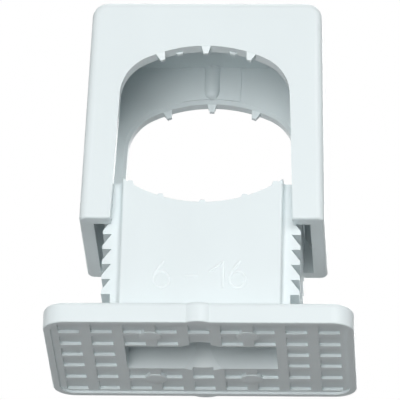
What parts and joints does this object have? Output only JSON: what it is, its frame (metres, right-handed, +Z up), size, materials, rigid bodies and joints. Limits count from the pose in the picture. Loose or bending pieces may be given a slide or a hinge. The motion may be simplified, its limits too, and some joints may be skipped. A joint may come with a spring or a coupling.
{
  "type": "ratchet cable clamp",
  "caption": "Press-on cable clamp: oblong foot with a toothed saddle and a U-shaped yoke that ratchets down over the cable.",
  "frame": {"origin": "on the screw axis, at the middle of the foot's underside", "axes": "+Z up from the foot through the saddle to the yoke, X along the foot plate, cable along Y, front towards -Y"},
  "size_m": [0.0306, 0.0194, 0.0361],
  "materials": {
    "grey_plastic": "light grey, fine satin moulded surface"
  },
  "bodies": {
    "base": {"base_saddle": "grey_plastic"},
    "yoke": {"clamp_yoke": "grey_plastic"}
  },
  "joints": [
    {"name": "yoke_slide", "type": "slide", "parent": "base", "child": "yoke", "axis": [0, 0, 1], "range_m": [-0.0097, 0]}
  ]
}
